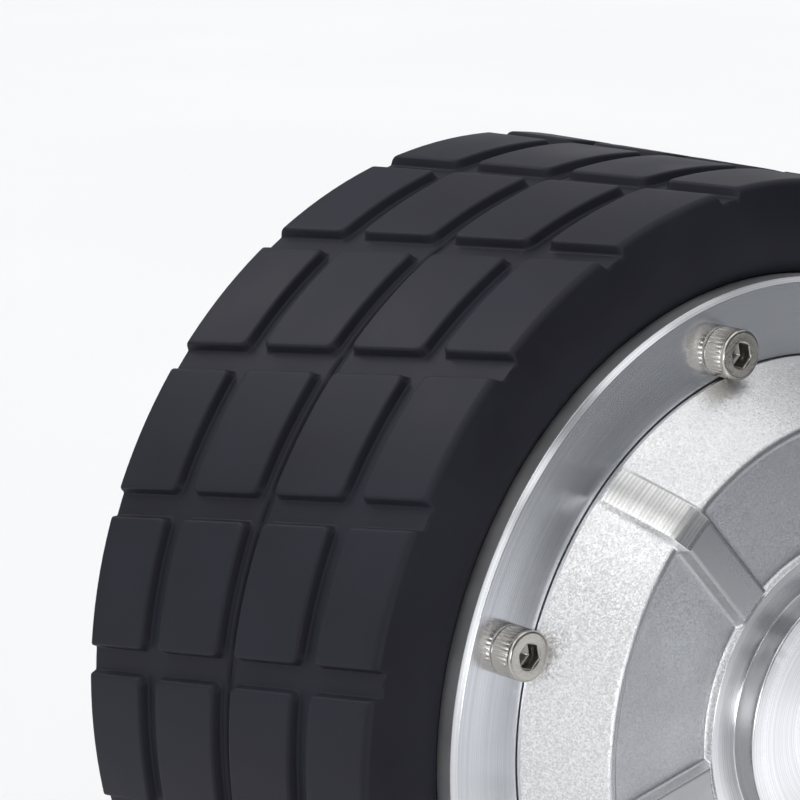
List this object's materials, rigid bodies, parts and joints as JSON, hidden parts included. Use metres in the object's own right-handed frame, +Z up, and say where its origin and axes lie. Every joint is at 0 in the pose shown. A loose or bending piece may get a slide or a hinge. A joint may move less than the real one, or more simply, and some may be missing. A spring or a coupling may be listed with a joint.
{
  "type": "robot drive wheel",
  "caption": "Robot drive wheel: hub motor in a block-tread rubber tyre with cast ribbed covers, turning on ball bearings about a fixed hollow axle that leaves on one side.",
  "frame": {"origin": "centre of the wheel, on the spin axis in the tyre's middle plane", "axes": "+Y along the axle, from the closed face to the axle's free end; +Z up"},
  "size_m": [0.114, 0.1128, 0.114],
  "materials": {
    "tyre_rubber": "matt moulded rubber",
    "cast_aluminium": "sparkling cast skin, turned bright at the flange and boss",
    "turned_aluminium": "turned",
    "stainless": "bright, knurled heads",
    "axle_steel": "ground",
    "bearing_steel": "polished",
    "plain_steel": "plain",
    "magnet": "nickel plated",
    "seal_rubber": "matt",
    "insulator": "moulded",
    "winding": "enamelled copper wire",
    "cage": "pressed",
    "brass": "turned",
    "circuit_board": "solder mask",
    "chip": "moulded"
  },
  "bodies": {
    "stator": {"axle": "axle_steel", "stator_hub": "turned_aluminium", "stator_key": "plain_steel", "stator_circlip": "plain_steel", "stator_core": "plain_steel", "front_slot_insulator": "insulator", "rear_slot_insulator": "insulator", "stator_windings": "winding", "front_bearing_inner_race": "bearing_steel", "rear_bearing_inner_race": "bearing_steel", "encoder_board": "circuit_board", "encoder_sensors": "chip", "encoder_board_posts": "brass", "encoder_board_screws": "stainless", "cable_grommet": "seal_rubber"},
    "wheel": {"tyre": "tyre_rubber", "rim": "turned_aluminium", "front_cover": "cast_aluminium", "rear_cover": "cast_aluminium", "front_cover_screws": "stainless", "rear_cover_screws": "stainless", "front_cover_seal": "seal_rubber", "rear_cover_seal": "seal_rubber", "rotor_yoke": "plain_steel", "rotor_magnets": "magnet", "front_bearing_outer_race": "bearing_steel", "rear_bearing_outer_race": "bearing_steel", "front_bearing_shields": "plain_steel", "rear_bearing_shields": "plain_steel", "rear_shaft_seal": "seal_rubber", "encoder_magnet_ring": "magnet", "wave_washer": "plain_steel"},
    "front_cage": {"front_bearing_cage": "cage", "front_bearing_balls": "bearing_steel"},
    "rear_cage": {"rear_bearing_cage": "cage", "rear_bearing_balls": "bearing_steel"}
  },
  "joints": [
    {"name": "wheel_spin", "type": "hinge", "parent": "stator", "child": "wheel", "pos_m": [0, 0, 0], "axis": [0, 1, 0], "continuous": true},
    {"name": "front_cage_spin", "type": "hinge", "parent": "stator", "child": "front_cage", "pos_m": [0, -0.0313, 0], "axis": [0, 1, 0], "continuous": true},
    {"name": "rear_cage_spin", "type": "hinge", "parent": "stator", "child": "rear_cage", "pos_m": [0, 0.0308, 0], "axis": [0, 1, 0], "continuous": true}
  ],
  "couplings": [
    {"joint": "front_cage_spin", "follows": "wheel_spin", "ratio": 0.619},
    {"joint": "rear_cage_spin", "follows": "wheel_spin", "ratio": 0.5766}
  ]
}
